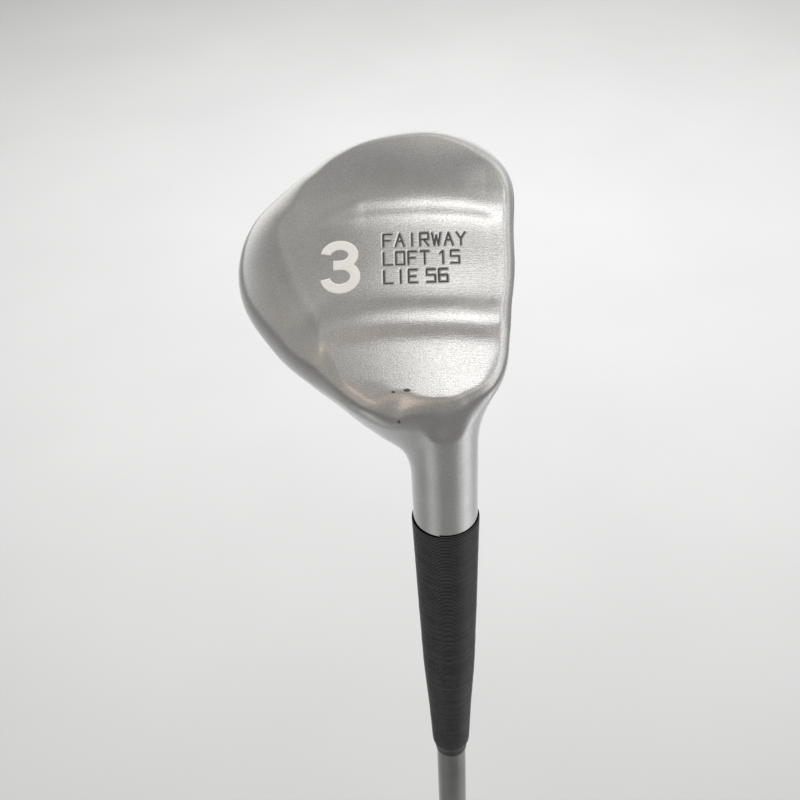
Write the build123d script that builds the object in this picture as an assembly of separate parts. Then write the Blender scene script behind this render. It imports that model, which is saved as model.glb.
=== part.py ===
from build123d import *
import os
import math
import numpy as np

os.makedirs("parts", exist_ok=True)

# A right-handed fairway wood with a hollow steel head, modelled complete from the
# butt of the grip to the toe.  Millimetres.
# Row frame: origin at the centre of the flat butt end of the grip, +Z along the
# shaft towards the head, +X towards the target (out of the face).

# ---------------------------------------------------------------- dimensions
CLUB_LENGTH = 1086.0      # butt end to the point where the shaft axis meets the ground
LIE_DEG = 56.0            # shaft axis to the ground when the sole sits flat
LOFT_DEG = 15.0           # face lean

HOSEL_TOP = 52.0          # end of the hosel, along the shaft axis from the ground point
HOSEL_R = 8.5             # hosel radius at its end
BODY_WALL = 1.1           # cast crown and skirt
SOLE_WALL = 1.9           # sole plate
FACE_WALL = 2.3           # hitting face
FOAM_GAP = 0.6            # foam set back from the steel
PLATE_TOP = 9.5           # height up to which the sole plate's edge cut reaches
CROWN_H = 38.0            # crown height over the ground
BORE_R = 4.8              # hosel bore radius
BORE_BOTTOM = 25.0        # bottom of the bore along the axis
PLUG_LEN = 3.0            # rubber plug at the bottom of the bore

TIP_R = 4.47              # shaft tip radius (.352 in)
NUMBER_POS = (-24.0, 24.2)   # centre of the engraved club number on the sole
NUMBER_SIZE = (9.2, 13.1)    # its width and height
NUMBER_DEEP = 0.55
MARK_DEEP = 0.4              # engraved loft and lie lettering
MARK_STROKE = 0.5
MARK_POS = (-13.4, 0.0)      # left end of the lettering (x)
MARK_ROWS = [(29.4, "FAIRWAY"), (24.6, "LOFT 15"), (19.8, "LIE 56")]
MARK_H = 3.3                 # letter height
SCORE_LINES = 7
SHAFT_WALL = 0.42
SHAFT_STEPS = 13          # number of steps between tip section and butt section
BUTT_R = 7.62             # shaft butt radius (.600 in)

# Thread whipping over the taper cone: (distance below the hosel end, radius)
WHIP = [(0.0, 9.0), (18.0, 8.55), (34.0, 8.2), (60.0, 7.5), (79.0, 6.4), (95.0, 5.75), (101.0, 5.3)]
THREAD = 0.5              # thread thickness
THREAD_PITCH = 0.56

GRIP_LEN = 268.0
GRIP_R_BUTT, GRIP_R_MID, GRIP_R_TIP = 13.4, 11.2, 8.3
CAP_R = 13.6              # end cap of the grip
CAP_T = 7.0
VENT_R = 1.6
BUTT_Z = 5.0              # where the steel tube ends inside the cap
TAPE = 0.25               # grip tape thickness

# Plan outline of the head at its widest, (towards face, towards toe), about the
# point where the shaft axis meets the ground.
OUTLINE = [
    (16.3, -1.3), (17.1, 5.9), (18.0, 14.0), (18.8, 22.0), (19.3, 30.1), (19.4, 38.1), (19.6, 44.4),
    (19.2, 51.4), (16.5, 56.4), (12.4, 60.0), (8.1, 63.6), (2.5, 64.9), (-2.9, 65.0), (-9.0, 64.7),
    (-16.0, 63.2), (-22.2, 60.5), (-28.1, 58.0), (-33.2, 54.4), (-38.6, 51.0), (-44.0, 46.8), (-48.3, 41.5),
    (-50.9, 34.9), (-51.6, 27.6), (-49.8, 20.6), (-46.6, 14.5), (-43.0, 9.3), (-39.0, 4.7), (-35.0, 0.5),
    (-30.3, -3.3), (-24.3, -8.3), (-16.7, -12.1), (-8.0, -10.7), (-0.1, -9.5), (7.8, -8.5), (13.9, -6.1),
]
OUT_C = (-14.0, 25.0)

# ------------------------------------------------------------ head coordinates
# x towards the face, y towards the toe, h up from the ground, origin where the
# shaft axis meets the ground.
LIE = math.radians(LIE_DEG)
CL, SL = math.cos(LIE), math.sin(LIE)
TL = math.tan(math.radians(LOFT_DEG))


def row(x, y, h):
    """Head coordinates to the row frame."""
    return (x, SL * y + CL * h, CLUB_LENGTH + CL * y - SL * h)


def catmull(pts, n=24):
    P = np.array(pts, float)
    m = len(P)
    out = []
    for i in range(m):
        p0, p1, p2, p3 = P[(i - 1) % m], P[i], P[(i + 1) % m], P[(i + 2) % m]
        for k in range(n):
            t = k / n
            out.append(0.5 * ((2 * p1) + (-p0 + p2) * t + (2 * p0 - 5 * p1 + 4 * p2 - p3) * t * t
                              + (-p0 + 3 * p1 - 3 * p2 + p3) * t ** 3))
    return np.array(out)


def outline_series(pts, K=12):
    q = catmull(pts)
    dx, dy = q[:, 0] - OUT_C[0], q[:, 1] - OUT_C[1]
    th, R = np.arctan2(dy, dx), np.hypot(dx, dy)
    o = np.argsort(th)
    g = np.linspace(-np.pi, np.pi, 720, endpoint=False)
    Rg = np.interp(g, th[o], R[o], period=2 * np.pi)
    A = [np.ones_like(g)]
    for k in range(1, K + 1):
        A += [np.cos(k * g), np.sin(k * g)]
    c, *_ = np.linalg.lstsq(np.stack(A, 1), Rg, rcond=None)
    return c


SERIES = outline_series(OUTLINE)


def outline(x, y):
    """Signed distance to the plan outline (negative inside) and the bearing."""
    dx, dy = x - OUT_C[0], y - OUT_C[1]
    rho = np.hypot(dx, dy) + 1e-6
    z = (dx + 1j * dy + 1e-9) / rho
    R = np.full_like(rho, SERIES[0])
    dR = np.zeros_like(rho)
    w = np.ones_like(z)
    for k in range(1, (len(SERIES) - 1) // 2 + 1):
        w = w * z
        a, b = SERIES[2 * k - 1], SERIES[2 * k]
        R = R + a * w.real + b * w.imag
        dR = dR + k * (-a * w.imag + b * w.real)
    return (rho - R) / np.sqrt(1 + (dR / R) ** 2), np.degrees(np.arctan2(dy, dx))


def ss(a, b, t):
    u = np.clip((t - a) / (b - a), 0, 1)
    return u * u * (3 - 2 * u)


def smin(a, b, k):
    g = np.clip(0.5 + 0.5 * (b - a) / k, 0, 1)
    return b * (1 - g) + a * g - k * g * (1 - g)


def by_angle(th, table):
    a = np.array([t[0] for t in table], float)
    v = np.array([t[1] for t in table], float)
    a = np.concatenate([a - 360, a, a + 360])
    v = np.tile(v, 3)
    i = np.clip(np.searchsorted(a, th) - 1, 0, len(a) - 2)
    u = np.clip((th - a[i]) / (a[i + 1] - a[i]), 0, 1)
    u = u * u * (3 - 2 * u)
    return v[i] * (1 - u) + v[i + 1] * u


# Rounding of the sole edge (in, up) and of the crown edge (in), by bearing.
EDGE_IN = [(-180, 16), (-150, 14), (-125, 9), (-105, 4), (-80, 2.6), (-60, 3.0), (-40, 3.4), (0, 3.0), (30, 3.2),
           (50, 6.0), (75, 4.0), (95, 3.2), (110, 3.6), (125, 5), (145, 10)]
EDGE_UP = [(-180, 13), (-150, 12), (-125, 9), (-105, 5), (-80, 3.5), (-60, 3.6), (-40, 3.6), (0, 3.4), (30, 3.6),
           (50, 7), (75, 8), (95, 8), (110, 9), (125, 10), (145, 11.5)]
CROWN_IN = [(-180, 30), (-140, 26), (-110, 16), (-80, 8), (-50, 3.5), (-38, 2.6), (0, 2.4), (34, 2.8), (60, 12),
            (90, 20), (140, 28)]


def run_of(slopes, y0=26.0):
    """Heights along a line whose slopes in degrees are given at stations, zero at y0."""
    y = np.arange(-60.0, 90.0, 0.1)
    v = np.tan(np.radians(np.interp(y, [q[0] for q in slopes], [q[1] for q in slopes])))
    k = np.exp(-0.5 * (np.arange(-10, 11) / 4.0) ** 2)
    v = np.convolve(np.pad(v, 10, mode="edge"), k / k.sum(), mode="valid")
    z = np.concatenate([[0.0], np.cumsum((v[1:] + v[:-1]) / 2) * 0.1])
    return y, z - np.interp(y0, y, z)


# Heel-to-toe slopes of the sole: over the middle, and at the back where the runners die out.
MID = run_of([(-30, -9), (-12, -5), (-8, -4.2), (-3, -3.8), (2.5, -4), (3.7, -4.5), (4.5, -5.6), (5.3, -7.5),
              (6.1, -9.8), (6.8, -12), (7.5, -13), (8.4, -12.5), (9.2, -10), (9.9, -6.5), (10.7, -4), (11.5, -1.8),
              (12.2, 0.8), (13.0, 2.2), (13.8, 5), (14.5, 7.5), (15.3, 6.5), (16.1, 2.6), (17, 1), (18.4, -0.3),
              (20, -1.2), (22, -1), (26, -0.1), (30, -0.1), (33, -0.6), (34.6, -1.6), (35.6, -3), (36.6, -4),
              (37.4, -7), (38, -10.5), (38.7, -12), (39.6, -9), (40.3, -6), (41, -4), (41.8, -1.2), (42.6, 1.2),
              (43.6, 2.8), (44.5, 5.2), (45.3, 7.8), (47, 9.2), (50, 10.8), (54, 13), (58, 15.5), (62, 17.5), (66, 19)])
BACK = run_of([(-30, -10), (-14, -7), (-6, -6), (2, -5), (10, -3.5), (18, -1.5), (26, 0), (34, 2), (42, 5), (50, 10),
               (58, 15.5), (66, 19)])
# The heel panel's edge, by bearing about its middle: distance out and depth of the drop beyond it.
HEEL_EDGE = [(-174, 19.5), (-146, 13.4), (-121, 11.3), (-87, 11.3), (-60, 12.2), (-30, 13.8), (5, 14.6), (25, 14.2),
             (90, 18.0), (150, 24.0)]
HEEL_DROP = [(-170, 0.3), (-146, 1.4), (-121, 2.1), (-87, 2.3), (-60, 2.0), (-30, 1.2), (5, 0.5), (24, 0.0),
             (90, 0.0), (150, 0.0)]
# How far the crest lines of the runners sit off their straight run, by x.
BEND_TOE = [(-34, 4.2), (-27.6, 1.7), (-17.7, 0.2), (-2.8, 0.0), (7.1, 0.7), (12.4, 1.6)]
BEND_HEEL = [(-29.7, 4.3), (-28.7, 2.3), (-26.1, 0.7), (-13.3, 0.0), (4.0, 0.3), (10.7, 0.9)]


def sole(x, y):
    """Height of the sole: cambered, two low runners joined by a rim along the leading
    edge, recessed panels between them and a heel panel beyond."""
    bt = np.interp(x, [q[0] for q in BEND_TOE], [q[1] for q in BEND_TOE])
    bh = np.interp(x, [q[0] for q in BEND_HEEL], [q[1] for q in BEND_HEEL])
    yy = y + bt * ss(22, 33, y) * (1 - ss(45, 54, y)) + bh * (1 - ss(15, 24, y)) * ss(-6, 4, y)
    mid, back = np.interp(yy, *MID), np.interp(y, *BACK)
    w = ss(-36, -19, x)
    z = w * mid + (1 - w) * back
    # rim along the leading edge, level with the two crests
    c0, c1 = np.interp(10.7, *MID), np.interp(41.0, *MID)
    level = c0 + (c1 - c0) * np.clip((y - 10.7) / 30.3, 0, 1)
    between = ss(9.5, 13.5, yy) * (1 - ss(38.5, 42.0, yy))
    xr = 16.6 - 0.0040 * (y - 27) ** 2
    m = 0.5 * np.where(x > xr, 1.0, 1 - ss(0.0, 5.0, xr - x)) * between
    z = z * (1 - m) + np.minimum(level, z) * m
    # crisp far edge of the heel panel, dropping away to the skirt
    px, py = x + 2.0, y - 2.0
    phi = np.degrees(np.arctan2(py, px))
    out = np.hypot(px, py) - by_angle(phi, HEEL_EDGE)
    z = z + by_angle(phi, HEEL_DROP) * ss(-0.4, 5.0, out)
    return 1.8 + z + (x + 6) ** 2 / 520.0


def crown(x, y):
    return CROWN_H - (x - 2) ** 2 / 260.0 - (y - 20) ** 2 / 230.0


def neck(x, y, h):
    t = -y * CL + h * SL
    ry, rh = y + t * CL, h - t * SL
    rad = np.sqrt(x * x + ry * ry + rh * rh)
    rn = HOSEL_R + 0.008 * np.maximum(46 - t, 0) + 0.0006 * np.maximum(36 - t, 0) ** 2 * ss(0, -6, x)
    return rad - rn, t


def head(x, y, h):
    """Signed function of the head's outer surface, negative inside."""
    xs = x + TL * np.maximum(h - 4.5, 0) * ss(-30, 6, x)
    O, th = outline(xs, y)
    hs, hc = sole(x, y), crown(x, y)
    ac = by_angle(th, CROWN_IN)
    a, b = by_angle(th, EDGE_IN), by_angle(th, EDGE_UP)
    rim = hs + b
    front = ss(60, 34, th) * ss(-60, -38, th)
    rim2 = np.maximum(rim * (1 - front) + (hc - 3.0) * front, rim)
    u = np.maximum(O + ac, 0) / ac
    v = np.maximum(h - rim2, 0) / np.maximum(hc - rim2, 1e-3)
    lev = (u ** 2.1 + v ** 2.1) ** (1 / 2.1) - 1
    scale = np.where(v > u, np.maximum(hc - rim2, 1.0), ac)
    body = np.where(v > 0, lev * scale, O)
    fn, t = neck(x, y, h)
    k = 7.0 + 11.0 * ss(0, -16, x) + 2.0 * ss(4, 12, x)
    top = smin(body, fn, k)
    uu = np.maximum(smin(O, fn, k) + a, 0) / a
    vv = np.maximum(rim - h, 0) / b
    low = ((uu ** 2 + vv ** 2) ** 0.5 - 1) * np.minimum(a, b)
    return np.where(h < rim, low, top)


# --------------------------------------------------- sections along a bent spine
PIVOT = (4.0, 51.0)                      # (y, h) the fanning sections turn about
T_FAN = -PIVOT[0] * CL + PIVOT[1] * SL
N_AROUND = 88
UANG = np.arange(N_AROUND) / N_AROUND * 2 * np.pi
RAYS = UANG - 0.24 * np.sin(2 * UANG)    # more rays towards the face and the back


def wall(x, y, h):
    """Wall thickness by place: face and sole heavier than crown and skirt."""
    w = BODY_WALL + (SOLE_WALL - BODY_WALL) * ss(15, 8, h)
    return w + (FACE_WALL - w) * ss(6, 13, x + TL * (h - 4.5))


def surface(x, y, h, inner):
    """inner 0 is the outside, 1 the cavity wall, 2 the foam, clear of the wall."""
    f = head(x, y, h)
    if inner:
        f = f + wall(x, y, h) + (FOAM_GAP if inner == 2 else 0.0)
    return f


def section(cx, cy, ch, dy, dh, inner):
    """Closed ring of points where the offset surface meets a plane that holds the
    x direction and the in-plane 'down' direction (0, dy, dh)."""
    ca, sa = np.cos(RAYS), np.sin(RAYS)
    X, Y, H = ca, -sa * dy, -sa * dh
    r = np.linspace(0.0, 62.0, 250)
    px, py, ph = cx + np.outer(X, r), cy + np.outer(Y, r), ch + np.outer(H, r)
    f = surface(px.ravel(), py.ravel(), ph.ravel(), inner).reshape(px.shape)
    out = f > 0
    out[:, -1] = True
    j = np.maximum(out.argmax(1), 1)
    lo, hi = r[j - 1], r[j]
    for _ in range(26):
        mid = (lo + hi) / 2
        v = surface(cx + X * mid, cy + Y * mid, ch + H * mid, inner)
        lo, hi = np.where(v < 0, mid, lo), np.where(v < 0, hi, mid)
    r = (lo + hi) / 2
    return np.stack([cx + X * r, cy + Y * r, ch + H * r], 1)


def ring_wire(ring):
    """Crown-side and sole-side splines that meet smoothly at the front and back."""
    P = [Vector(*row(*p)) for p in ring]
    n, half = N_AROUND, N_AROUND // 2
    P = P + [P[0]]
    t0 = (P[1] - P[n - 1]) * (half / 2)
    t1 = (P[half + 1] - P[half - 1]) * (half / 2)
    par = [i / half for i in range(half + 1)]
    return Wire([Edge.make_spline(P[:half + 1], tangents=[t0, t1], parameters=par, scale=False),
                 Edge.make_spline(P[half:], tangents=[t1, t0], parameters=par, scale=False)])


def centre(y, toe):
    """Centre (x, h) of the sections across the body; toe = (y, x, h) of the tip."""
    g = ss(toe[0] - 30.0, toe[0], y)
    x = -13.5 * min(1.0, max(0.0, (y + 8) / 24.0))
    return x * (1 - g) + toe[1] * g, 17.0 * (1 - g) + toe[2] * g


def rings(inner, toe, n_fan, neck_top):
    ty = toe[0]
    ys = [ty - 0.12, ty - 0.5, ty - 1.3, ty - 2.6, ty - 4.4]
    y = ty - 6.6
    while y > 44.5:
        ys.append(y)
        y -= 2.2
    ys += [43.2, 42.0, 40.9, 39.8, 38.7, 37.6, 36.5, 35.3, 34.1, 32.8, 31.5, 29.6, 27.4, 25.0, 22.6, 20.3, 18.2,
           16.4, 15.0, 13.7, 12.4, 11.2, 10.0, 8.8, 7.6, 6.4, 5.2]
    out = []
    for y in ys:
        cx, ch = centre(y, toe)
        out.append(section(cx, y, ch, 0.0, -1.0, inner))
    n = 30
    for i in range(n_fan + 1):
        phi = i / n * LIE
        dy, dh = -math.sin(phi), -math.cos(phi)
        rc = PIVOT[1] - 17.0 + (i / n) * (PIVOT[0] * SL + PIVOT[1] * CL - (PIVOT[1] - 17.0))
        cx = -13.5 * 0.5 * (1 - i / n) ** 1.5
        out.append(section(cx, PIVOT[0] + rc * dy, PIVOT[1] + rc * dh, dy, dh, inner))
    if neck_top:
        t = T_FAN + 2.6
        while t < neck_top - 1.0:
            out.append(section(0.0, -t * CL, t * SL, -SL, -CL, inner))
            t += 2.6
        out.append(section(0.0, -neck_top * CL, neck_top * SL, -SL, -CL, inner))
    return out


def ring_solid(rs, chunk=7):
    """Solid whose skin passes through the rings, built as short smooth lofts that
    share their end rings."""
    wires = [ring_wire(r) for r in rs]
    faces = [Face(wires[0]), Face(wires[-1])]
    i = 0
    while i < len(wires) - 1:
        j = min(i + chunk, len(wires) - 1)
        if len(wires) - 1 - j < 2:
            j = len(wires) - 1
        part = Solid.make_loft(wires[i:j + 1])
        faces += [f for f in part.faces() if f.geom_type != GeomType.PLANE]
        i = j
    return Solid(Shell(faces))


def toe_tip(inner):
    """(y, x, h) of the furthest toe point of the body or of its cavity."""
    X, H = np.meshgrid(np.linspace(-30, 15, 91), np.linspace(2, 30, 57))
    X, H = X.ravel(), H.ravel()
    y = 56.0
    while True:
        f = surface(X, np.full(X.size, y), H, inner)
        if f.min() > -0.02:
            return y, X[f.argmin()], H[f.argmin()]
        y += 0.05


# ------------------------------------------------------------------ placing help
def zplane(z):
    return Plane(origin=(0, 0, z), x_dir=(1, 0, 0), z_dir=(0, 0, 1))


def rod(z0, z1, r):
    return extrude(zplane(z0) * Circle(r), z1 - z0)


def turned(profile):
    """Solid of revolution about +Z from (radius, z) points."""
    f = Plane.XZ * make_face(Polyline(*[(r, z) for r, z in profile], close=True))
    return revolve(f, axis=Axis.Z)


def ground_prism(face2d, h0, h1):
    """Extrude a sketch drawn in plan (x to the face, y to the toe) from h0 to h1."""
    pl = Plane(origin=row(0, 0, h1), x_dir=(1, 0, 0), z_dir=(0, -CL, SL))
    return extrude(pl * face2d, h1 - h0)


def stroke_poly(pts, width):
    """Closed outline of a constant-width stroke along pts."""
    P = np.array(pts, float)
    T = np.gradient(P, axis=0)
    T /= np.linalg.norm(T, axis=1)[:, None]
    N = np.stack([-T[:, 1], T[:, 0]], 1) * width / 2
    L, R = P + N, P - N
    return [tuple(p) for p in L] + [tuple(p) for p in R[::-1]]


def digit_three(cx, cy, w, h):
    """A plain bold figure 3 as two overlapping bowls."""
    sw = 0.25 * w
    r1x, r1y = w * 0.345, h * 0.19
    r2x, r2y = w * 0.5 - sw / 2, h * 0.222
    c1 = (cx - 0.01 * w, cy + h / 2 - sw / 2 - r1y)
    c2 = (cx, cy - h / 2 + sw / 2 + r2y)
    a1 = np.radians(np.linspace(172, -90, 26))
    a2 = np.radians(np.linspace(90, -172, 30))
    top = [(c1[0] + r1x * math.cos(a), c1[1] + r1y * math.sin(a)) for a in a1] + [(c1[0] - 0.16 * w, c1[1] - r1y)]
    low = [(c2[0] - 0.16 * w, c2[1] + r2y)] + [(c2[0] + r2x * math.cos(a), c2[1] + r2y * math.sin(a)) for a in a2]
    f1 = make_face(Polyline(*stroke_poly(top, sw), close=True))
    f2 = make_face(Polyline(*stroke_poly(low, sw), close=True))
    return f1 + f2


# Single-stroke capitals and figures on a 0..1 by 0..1 cell.
GLYPHS = {
    "A": [[(0, 0), (0.5, 1), (1, 0)], [(0.21, 0.4), (0.79, 0.4)]],
    "E": [[(1, 1), (0, 1), (0, 0), (1, 0)], [(0, 0.5), (0.8, 0.5)]],
    "F": [[(1, 1), (0, 1), (0, 0)], [(0, 0.5), (0.8, 0.5)]],
    "I": [[(0.5, 0), (0.5, 1)]],
    "L": [[(0, 1), (0, 0), (1, 0)]],
    "O": [[(0, 0), (1, 0), (1, 1), (0, 1), (0, 0)]],
    "R": [[(0, 0), (0, 1), (1, 1), (1, 0.5), (0, 0.5)], [(0.4, 0.5), (1, 0)]],
    "T": [[(0, 1), (1, 1)], [(0.5, 1), (0.5, 0)]],
    "W": [[(0, 1), (0.25, 0), (0.5, 0.8), (0.75, 0), (1, 1)]],
    "Y": [[(0, 1), (0.5, 0.5), (1, 1)], [(0.5, 0.5), (0.5, 0)]],
    "1": [[(0.2, 0.8), (0.55, 1), (0.55, 0)]],
    "5": [[(1, 1), (0, 1), (0, 0.55), (1, 0.55), (1, 0), (0, 0)]],
    "6": [[(1, 1), (0, 1), (0, 0), (1, 0), (1, 0.52), (0, 0.52)]],
}


def lettering():
    """List of (x0, y0, x1, y1) strokes for the engraved lettering."""
    cell, gap = 2.05, 0.95
    out = []
    for y, word in MARK_ROWS:
        x = MARK_POS[0]
        for ch in word:
            for line in GLYPHS.get(ch, []):
                for (ax, ay), (bx, by) in zip(line, line[1:]):
                    out.append((x + ax * cell, y + ay * MARK_H, x + bx * cell, y + by * MARK_H))
            x += (cell + gap) if ch != " " else 1.4
    return out


def bar(x0, y0, x1, y1, w):
    L = math.hypot(x1 - x0, y1 - y0)
    r = Rectangle(L + w, w)
    return Pos((x0 + x1) / 2, (y0 + y1) / 2) * Rot(0, 0, math.degrees(math.atan2(y1 - y0, x1 - x0))) * r


def main(shape):
    """The largest solid of a boolean result."""
    sol = list(shape.solids()) if hasattr(shape, "solids") else [q for s in shape for q in s.solids()]
    return max(sol, key=lambda q: q.volume)


def save(shape, node):
    big = main(shape)
    export_step(big, f"parts/{node}.step")
    bb = big.bounding_box()
    print(node, "vol", round(big.volume, 1), "faces", len(big.faces()), "z", round(bb.min.Z, 2), round(bb.max.Z, 2))
    return big


# ------------------------------------------------------------------------- head
outer = ring_solid(rings(0, toe_tip(0), 30, HOSEL_TOP))
cavity = ring_solid(rings(1, toe_tip(1), 14, 0))
shell = main(outer - cavity)

bore = rod(CLUB_LENGTH - HOSEL_TOP - 2, CLUB_LENGTH - BORE_BOTTOM, BORE_R)
shell = main(shell - bore)

# boundary of the sole plate in plan, set in from the outline
PLATE_IN = [(-180, 13), (-150, 11.5), (-125, 8.0), (-105, 5.2), (-80, 4.4), (-60, 4.6), (-40, 4.4), (0, 4.2), (30, 4.6),
            (50, 6.5), (75, 5.0), (95, 4.4), (110, 5.0), (125, 7), (145, 10)]
th = np.linspace(-180, 180, 72, endpoint=False)
rr = np.full_like(th, SERIES[0])
for k in range(1, (len(SERIES) - 1) // 2 + 1):
    rr = rr + SERIES[2 * k - 1] * np.cos(np.radians(k * th)) + SERIES[2 * k] * np.sin(np.radians(k * th))
rr = rr - by_angle(th, PLATE_IN)
plate_edge = Edge.make_spline([Vector(OUT_C[0] + r * math.cos(math.radians(a)), OUT_C[1] + r * math.sin(math.radians(a)))
                               for r, a in zip(rr, th)], periodic=True)
plate_prism = ground_prism(Face(Wire([plate_edge])), -4.0, PLATE_TOP)
sole_plate = main(shell & plate_prism)
head_body = main(shell - plate_prism)

three = ground_prism(digit_three(*NUMBER_POS, *NUMBER_SIZE), -4.0,
                     float(sole(np.array([NUMBER_POS[0]]), np.array([NUMBER_POS[1]]))[0]) + NUMBER_DEEP)
number_fill = main(outer & three)
sole_plate = main(sole_plate - three)

strokes = lettering()
mark = None
for s4 in strokes:
    b = bar(*s4, MARK_STROKE)
    mark = b if mark is None else mark + b
mark_h = float(sole(np.array([-4.0]), np.array([24.0]))[0]) + MARK_DEEP
sole_plate = main(sole_plate - ground_prism(mark, -4.0, mark_h))

# score lines across the face
for i in range(SCORE_LINES):
    hh = 9.0 + i * 3.3
    half = 20.0 - 0.25 * abs(i - 3)
    g = Box(1.2, 2 * half, 0.7)
    fx = 19.0 - TL * (hh - 4.5)
    pl = Plane(origin=row(fx + 0.0, 27.0, hh), x_dir=(1, 0, 0), z_dir=(0, -CL, SL))
    head_body = main(head_body - pl * (Rot(0, 0, 2.4) * g))

save(head_body, "head_body")
save(sole_plate, "sole_plate")
save(number_fill, "number_fill")
# light sound-damping foam filling the toe two thirds of the cavity
foam_core = ring_solid(rings(2, toe_tip(2), 6, 0))
save(foam_core, "foam_core")

# ------------------------------------------------------------- hosel and shaft
Z_HOSEL = CLUB_LENGTH - HOSEL_TOP
save(rod(CLUB_LENGTH - BORE_BOTTOM - PLUG_LEN, CLUB_LENGTH - BORE_BOTTOM, BORE_R), "hosel_plug")

TIP_Z = CLUB_LENGTH - BORE_BOTTOM - PLUG_LEN
step_z = [TIP_Z - 290.0 - i * 39.5 for i in range(SHAFT_STEPS)]
radii = [TIP_R + (BUTT_R - TIP_R) * (i + 1) / SHAFT_STEPS for i in range(SHAFT_STEPS)]
outside = [(TIP_R, TIP_Z)]
inside = [(TIP_R - SHAFT_WALL, TIP_Z)]
r_prev = TIP_R
for z, r in zip(step_z, radii):
    outside += [(r_prev, z), (r, z - 1.2)]
    inside += [(r_prev - SHAFT_WALL, z), (r - SHAFT_WALL, z - 1.2)]
    r_prev = r
outside.append((BUTT_R, BUTT_Z))
inside.append((BUTT_R - SHAFT_WALL, BUTT_Z))
save(turned(outside + inside[::-1]), "shaft")
save(rod(Z_HOSEL, TIP_Z, BORE_R) - rod(Z_HOSEL - 1, TIP_Z + 1, TIP_R), "epoxy_bond")
save(rod(TIP_Z - 18.0, TIP_Z - 1.0, TIP_R - SHAFT_WALL), "tip_weight")
save(rod(TIP_Z - 24.0, TIP_Z - 18.0, TIP_R - SHAFT_WALL), "tip_cork")

# taper cone and thread whipping
cone = [(r - THREAD, Z_HOSEL - d) for d, r in WHIP]
save(turned([(TIP_R, Z_HOSEL)] + cone + [(TIP_R, Z_HOSEL - WHIP[-1][0])]), "taper_cone")


def whip_r(d):
    return float(np.interp(d, [p[0] for p in WHIP], [p[1] for p in WHIP]))


turns = int(WHIP[-1][0] / THREAD_PITCH)
pitch = WHIP[-1][0] / turns
crest = []
edges = []
for i in range(turns):
    d0, d1 = i * pitch, (i + 1) * pitch
    ra, rb, rm = whip_r(d0) - 0.13, whip_r(d1) - 0.13, whip_r((d0 + d1) / 2)
    edges.append(Edge.make_three_point_arc(Vector(ra, 0, Z_HOSEL - d0), Vector(rm, 0, Z_HOSEL - (d0 + d1) / 2),
                                           Vector(rb, 0, Z_HOSEL - d1)))
inner_pts = [(whip_r(turns * pitch) - 0.13, Z_HOSEL - turns * pitch)] + [(r - THREAD, Z_HOSEL - d) for d, r in WHIP[::-1]]
inner_pts += [(whip_r(0) - 0.13, Z_HOSEL)]
for (r0, z0), (r1, z1) in zip(inner_pts, inner_pts[1:]):
    edges.append(Edge.make_line(Vector(r0, 0, z0), Vector(r1, 0, z1)))
whip_face = Face(Wire(edges))
save(revolve(whip_face, axis=Axis.Z), "whipping_thread")

# ------------------------------------------------------------------------- grip
save(rod(CAP_T + 1.0, CAP_T + GRIP_LEN - 6.0, BUTT_R + TAPE) - rod(CAP_T, CAP_T + GRIP_LEN, BUTT_R), "grip_tape")
gi = BUTT_R + TAPE
prof = [(gi, CAP_T)]
zs = np.linspace(0, 1, 30)
prof_out = []
for u in zs:
    z = CAP_T + u * GRIP_LEN
    r = GRIP_R_TIP + 0.55 + (GRIP_R_BUTT - GRIP_R_TIP - 0.9) * (1 - u) ** 0.85
    prof_out.append((r, z))
prof_out[0] = (GRIP_R_BUTT, CAP_T)
prof_out += [(GRIP_R_TIP + 0.9, CAP_T + GRIP_LEN + 0.6), (GRIP_R_TIP + 0.9, CAP_T + GRIP_LEN + 2.4),
             (GRIP_R_TIP, CAP_T + GRIP_LEN + 3.2)]
grip = turned([(gi, CAP_T)] + prof_out + [(gi, CAP_T + GRIP_LEN + 3.2)])
for z, r in [(CAP_T + 6, GRIP_R_BUTT), (CAP_T + 9, GRIP_R_BUTT)]:
    grip = grip - (rod(z, z + 0.8, 20) - rod(z - 1, z + 2, r - 0.9))
save(grip, "grip_sleeve")
cap = turned([(VENT_R, 0), (CAP_R - 1.2, 0), (CAP_R, 1.2), (CAP_R, CAP_T), (BUTT_R, CAP_T), (BUTT_R, BUTT_Z),
              (BUTT_R - SHAFT_WALL, BUTT_Z), (BUTT_R - SHAFT_WALL, CAP_T + 3.0), (VENT_R, CAP_T + 3.0)])
save(cap, "grip_cap")
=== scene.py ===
import bpy
import math
import numpy as np
from mathutils import Matrix, Vector


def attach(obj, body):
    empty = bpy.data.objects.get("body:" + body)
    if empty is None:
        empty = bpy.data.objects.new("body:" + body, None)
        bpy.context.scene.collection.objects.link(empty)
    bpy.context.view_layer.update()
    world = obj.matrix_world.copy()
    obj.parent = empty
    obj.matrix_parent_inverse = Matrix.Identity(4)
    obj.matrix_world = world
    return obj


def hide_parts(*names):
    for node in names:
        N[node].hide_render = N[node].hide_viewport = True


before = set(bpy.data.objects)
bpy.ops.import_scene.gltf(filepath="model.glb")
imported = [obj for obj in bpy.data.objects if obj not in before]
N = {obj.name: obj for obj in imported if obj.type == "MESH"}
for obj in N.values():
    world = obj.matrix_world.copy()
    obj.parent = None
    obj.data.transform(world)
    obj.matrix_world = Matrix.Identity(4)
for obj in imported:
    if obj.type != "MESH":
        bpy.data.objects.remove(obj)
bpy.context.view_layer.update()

rng = np.random.default_rng(11)
MM = 0.001

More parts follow.
